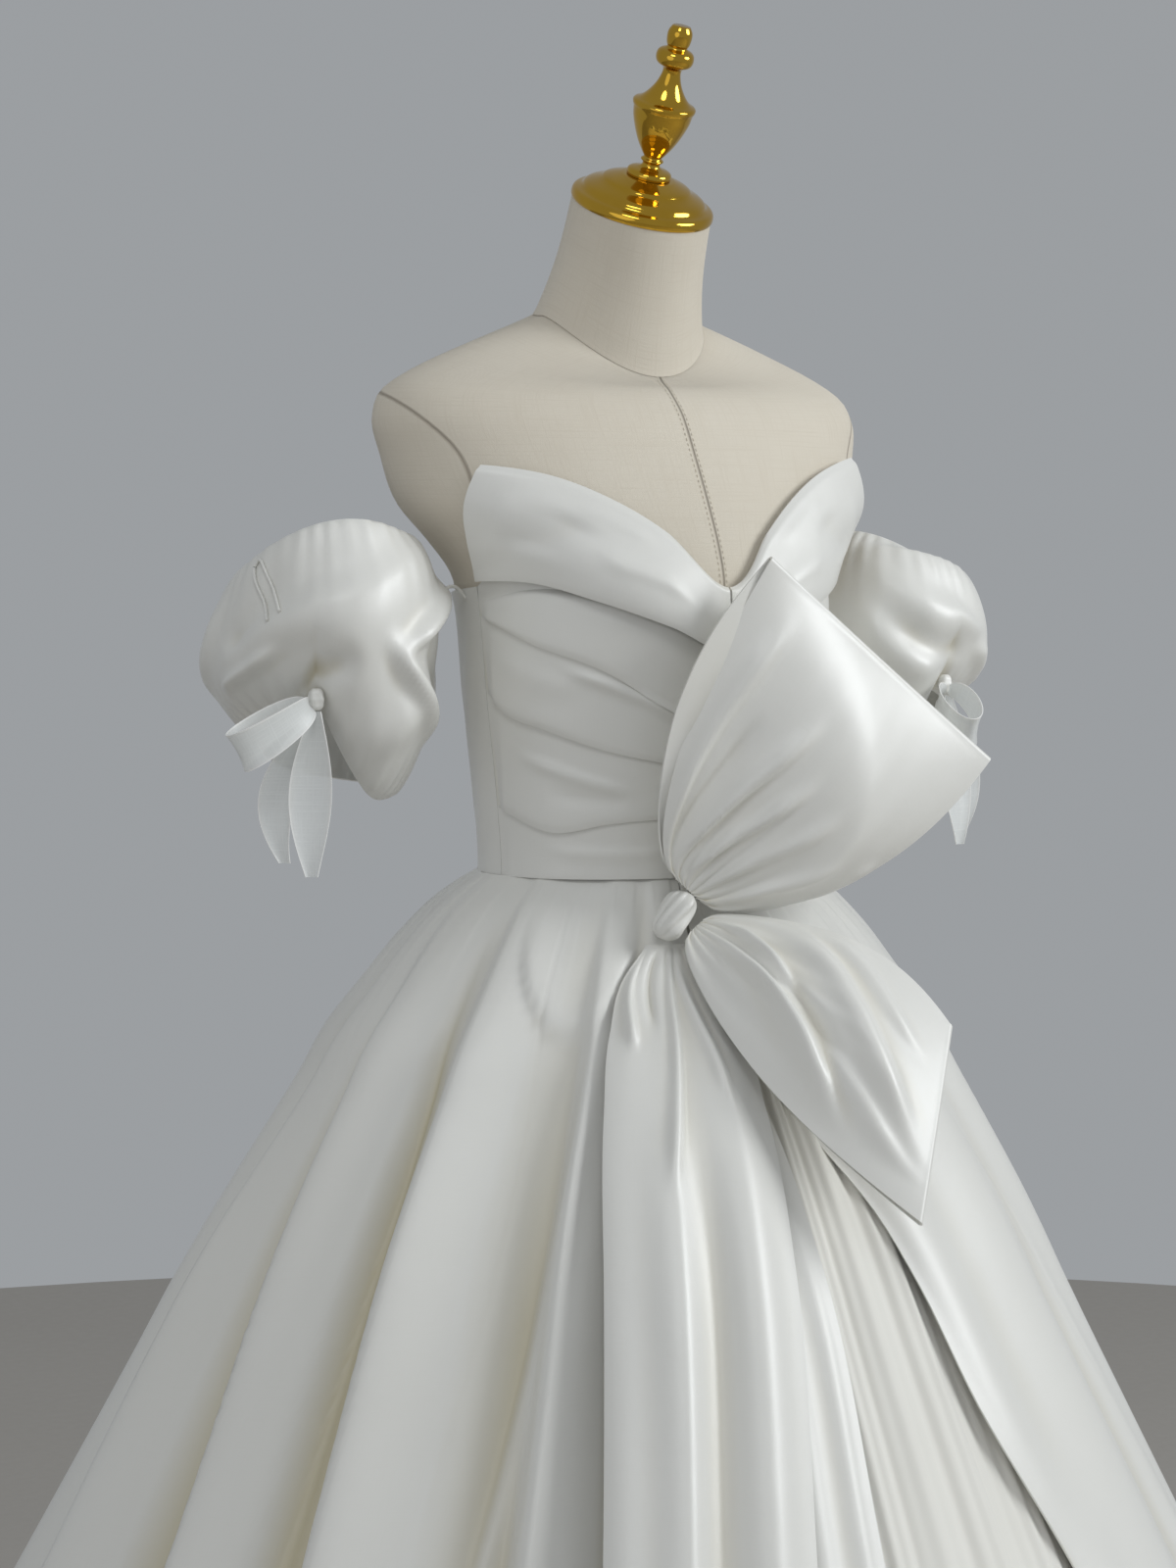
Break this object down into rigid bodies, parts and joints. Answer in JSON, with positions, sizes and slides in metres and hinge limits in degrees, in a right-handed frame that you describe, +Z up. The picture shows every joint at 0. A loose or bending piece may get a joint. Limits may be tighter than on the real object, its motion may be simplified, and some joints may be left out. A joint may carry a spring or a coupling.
{
  "type": "strapless gown on a limbless dress form",
  "caption": "Ivory satin ball gown with a pleated bodice, folded cuffs, a large asymmetric bow, tulle underskirt and detached puff sleeves, on a linen dress form.",
  "frame": {"origin": "centre of the stand's base, on its underside", "axes": "+Z up along the stand's pole, the gown's front faces -Y, the wearer's left is +X"},
  "size_m": [1.4427, 1.378, 1.648],
  "materials": {
    "satin": "heavy ivory duchess satin with a soft sheen",
    "tulle": "fine gathered ivory tulle",
    "ribbon": "sheer organza ribbon with a satin edge",
    "linen": "plain-woven natural linen cover",
    "gold": "polished gold plate",
    "steel": "satin steel"
  },
  "bodies": {
    "root": {"form_torso": "linen", "form_neck": "linen", "neck_cap": "gold", "neck_finial": "gold", "form_pole": "steel", "form_base": "steel", "bodice_front": "satin", "bodice_back_right": "satin", "bodice_back_left": "satin", "bodice_band_1": "satin", "bodice_band_2": "satin", "bodice_band_3": "satin", "bodice_band_4": "satin", "cuff_right": "satin", "cuff_left": "satin", "back_button_1": "satin", "back_button_2": "satin", "back_button_3": "satin", "back_button_4": "satin", "back_button_5": "satin", "back_button_6": "satin", "back_button_7": "satin", "overskirt_gore_1": "satin", "overskirt_gore_2": "satin", "overskirt_gore_3": "satin", "overskirt_gore_4": "satin", "overskirt_gore_5": "satin", "overskirt_gore_6": "satin", "overskirt_gore_7": "satin", "overskirt_gore_8": "satin", "overskirt_gore_9": "satin", "underskirt_panel_1": "tulle", "underskirt_panel_2": "tulle", "underskirt_panel_3": "tulle", "underskirt_panel_4": "tulle", "bow_loop_upper": "satin", "bow_loop_lower": "satin", "bow_tail_front": "satin", "bow_tail_back": "satin", "bow_knot": "satin", "sleeve_left": "satin", "sleeve_right": "satin", "sleeve_hook_left": "satin", "sleeve_hook_right": "satin", "tie_knot_left": "ribbon", "tie_loop_left": "ribbon", "tie_tail_left_1": "ribbon", "tie_tail_left_2": "ribbon", "tie_knot_right": "ribbon", "tie_loop_right": "ribbon", "tie_tail_right_1": "ribbon", "tie_tail_right_2": "ribbon"}
  },
  "joints": []
}
